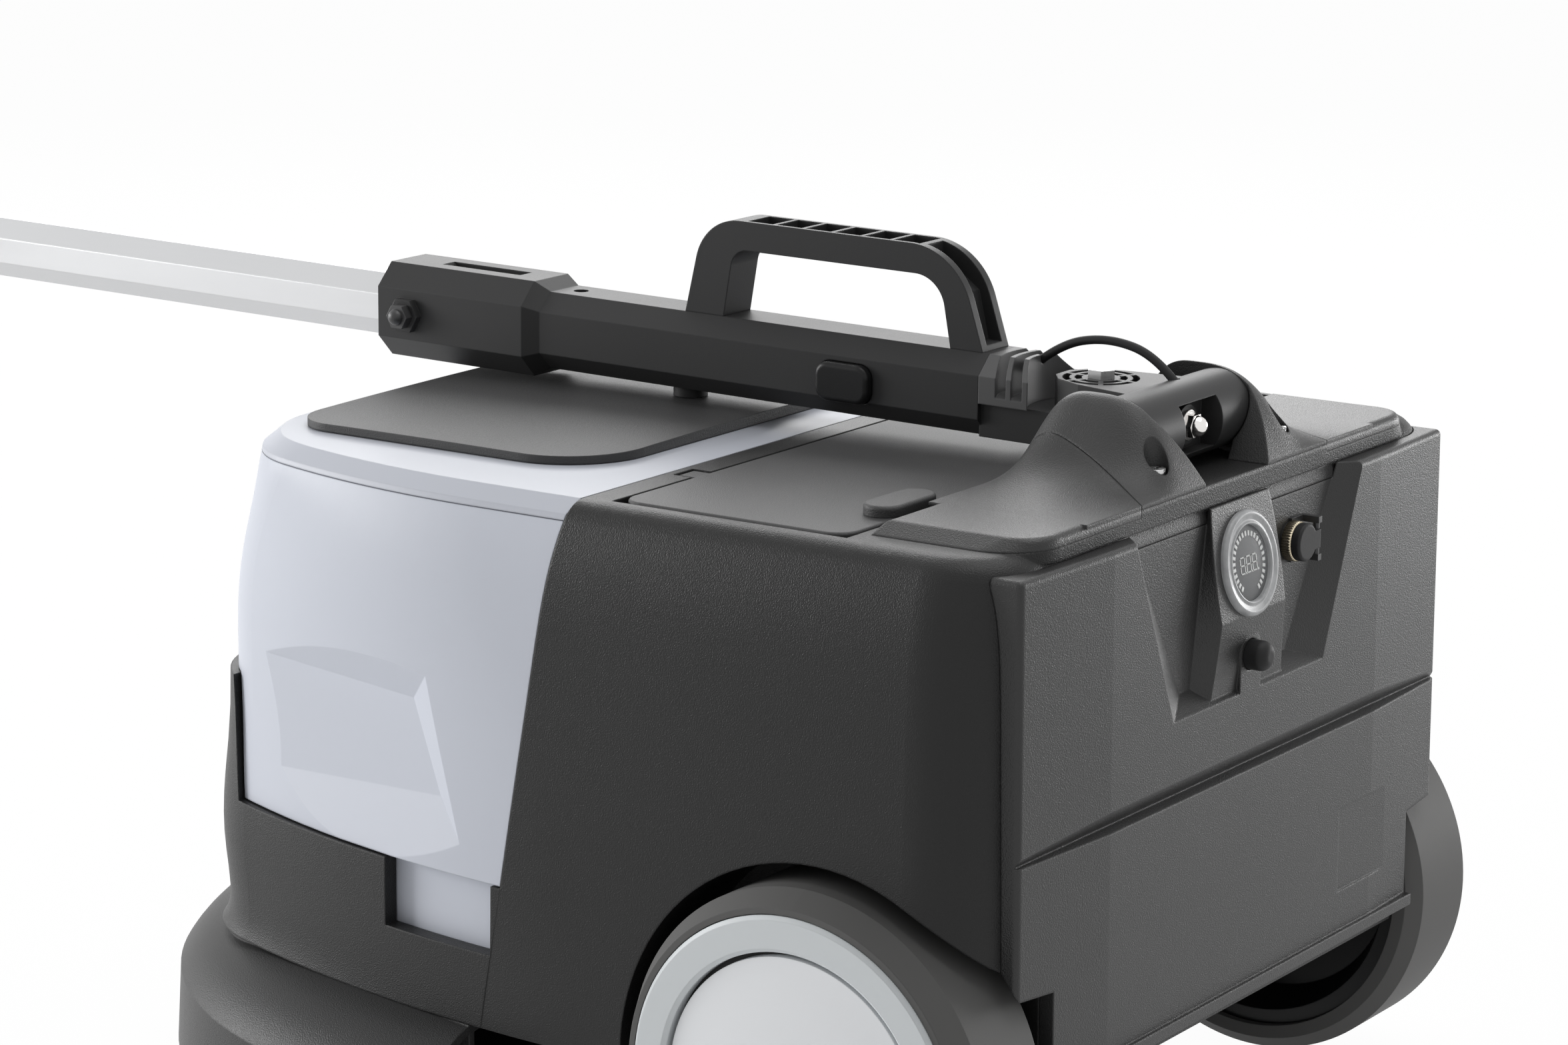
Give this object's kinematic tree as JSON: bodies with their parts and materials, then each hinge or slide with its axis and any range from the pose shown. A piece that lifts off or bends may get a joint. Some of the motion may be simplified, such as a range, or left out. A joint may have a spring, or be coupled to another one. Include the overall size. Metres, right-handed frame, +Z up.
{
  "type": "walk-behind floor scrubber",
  "caption": "Compact walk-behind floor scrubber with a folding swivel handle, lift-out front tank, disc scrub pad, rear wheels and squeegee.",
  "frame": {"origin": "centre of the scrub pad's underside, on the floor", "axes": "+Z up, -Y towards the machine's front (the tank end), +X towards the machine's left side"},
  "size_m": [0.547, 1.1306, 0.4616],
  "materials": {
    "shell_plastic": "dark grey moulded plastic with a fine leather grain",
    "tank_plastic": "light bluish-grey moulded plastic, satin",
    "lid_plastic": "black moulded plastic with a fine grain",
    "handle_plastic": "smooth satin black plastic",
    "button_plastic": "smooth black plastic",
    "aluminium_tube": "bright drawn aluminium",
    "steel": "zinc-plated steel",
    "bright_steel": "polished nickel-plated steel",
    "soft_rubber": "black rubber",
    "tyre_rubber": "dark grey tyre rubber",
    "wheel_plastic": "black plastic",
    "trim_plastic": "pale grey plastic, satin",
    "bezel_plastic": "clear-grey polished plastic",
    "lens_glass": "clear lens",
    "gauge_plastic": "grey plastic",
    "floor_plate": "black painted steel",
    "deck_plastic": "black plastic",
    "pad_fibre": "red non-woven fibre",
    "motor_metal": "dark painted metal",
    "battery_case": "black plastic"
  },
  "bodies": {
    "base": {"body_shell": "shell_plastic", "deck_cheeks": "shell_plastic", "rear_cover": "shell_plastic", "ear_left": "shell_plastic", "ear_right": "shell_plastic", "brush_shroud": "shell_plastic", "front_tank": "tank_plastic", "tank_cap": "tank_plastic", "tank_lid": "lid_plastic", "pivot_pin": "steel", "ear_screws": "steel", "axle": "steel", "axle_clips": "steel", "axle_brackets": "steel", "charge_socket": "bright_steel", "lid_seal": "soft_rubber", "splash_apron": "soft_rubber", "gauge_bezel": "bezel_plastic", "gauge_lens": "lens_glass", "gauge_body": "gauge_plastic", "base_plate": "floor_plate", "rear_floor": "floor_plate", "suction_pipe": "deck_plastic", "brush_motor": "motor_metal", "vacuum_motor": "motor_metal", "water_pump": "motor_metal", "battery": "battery_case"},
    "wheel_left": {"tyre_left": "tyre_rubber", "wheel_core_left": "wheel_plastic", "wheel_trim_left": "trim_plastic"},
    "wheel_right": {"tyre_right": "tyre_rubber", "wheel_core_right": "wheel_plastic", "wheel_trim_right": "trim_plastic"},
    "brush": {"scrub_pad": "pad_fibre", "pad_driver": "deck_plastic", "drive_hub": "steel"},
    "squeegee": {"squeegee_frame": "deck_plastic", "squeegee_blades": "soft_rubber"},
    "service_door": {"service_lid": "shell_plastic", "lift_tab": "shell_plastic"},
    "socket_flap": {"socket_cap": "soft_rubber"},
    "breaker": {"breaker_button": "soft_rubber"},
    "pivot_yoke": {"yoke": "handle_plastic", "dome_nut": "bright_steel", "swivel_bolt": "steel"},
    "handle": {"swivel_insert": "handle_plastic", "handle_sleeve": "handle_plastic", "handle_tube": "aluminium_tube", "clamp_bolt": "bright_steel", "carry_handle": "handle_plastic", "rest_foot": "soft_rubber", "head_housing": "handle_plastic", "handle_bar": "aluminium_tube", "grip_left": "soft_rubber", "grip_right": "soft_rubber", "handle_cable": "soft_rubber"},
    "release": {"release_button": "button_plastic"},
    "lever": {"drive_lever": "handle_plastic"},
    "power": {"power_button": "button_plastic"}
  },
  "joints": [
    {"name": "left_wheel_spin", "type": "hinge", "parent": "base", "child": "wheel_left", "pos_m": [0.218, 0.24, 0.1], "axis": [1, 0, 0], "continuous": true},
    {"name": "right_wheel_spin", "type": "hinge", "parent": "base", "child": "wheel_right", "pos_m": [-0.218, 0.24, 0.1], "axis": [1, 0, 0], "continuous": true},
    {"name": "pad_spin", "type": "hinge", "parent": "base", "child": "brush", "pos_m": [0, 0, 0.02], "axis": [0, 0, 1], "continuous": true},
    {"name": "squeegee_float", "type": "slide", "parent": "base", "child": "squeegee", "axis": [0, 0, 1], "range_m": [0, 0.012]},
    {"name": "service_lid_hinge", "type": "hinge", "parent": "base", "child": "service_door", "pos_m": [0, 0.0975, 0.3558], "axis": [1, 0, 0], "range_deg": [0, 3]},
    {"name": "socket_cap_hinge", "type": "hinge", "parent": "base", "child": "socket_flap", "pos_m": [-0.066, 0.33665, 0.32], "axis": [0, 0, 1], "range_deg": [0, 110]},
    {"name": "breaker_press", "type": "slide", "parent": "base", "child": "breaker", "axis": [0, -1, 0], "range_m": [0, 0.003], "stiffness_N_per_m": 800},
    {"name": "handle_fold", "type": "hinge", "parent": "base", "child": "pivot_yoke", "pos_m": [0, 0.29, 0.384], "axis": [-1, 0, 0], "range_deg": [0, 140]},
    {"name": "handle_swivel", "type": "hinge", "parent": "pivot_yoke", "child": "handle", "pos_m": [0, 0.251, 0.38771], "axis": [0, 0.014, 0.9999], "range_deg": [-30, 30], "deforming": ["handle_cable"]},
    {"name": "release_press", "type": "slide", "parent": "handle", "child": "release", "axis": [-1, 0, 0], "range_m": [0, 0.003], "stiffness_N_per_m": 800},
    {"name": "drive_lever_hinge", "type": "hinge", "parent": "handle", "child": "lever", "pos_m": [0, -0.6831, 0.38679], "axis": [-1, 0, 0], "range_deg": [0, 14], "stiffness_Nm_per_rad": 2},
    {"name": "power_press", "type": "slide", "parent": "handle", "child": "power", "axis": [0, -0.014, -0.9999], "range_m": [0, 0.0025], "stiffness_N_per_m": 800}
  ]
}
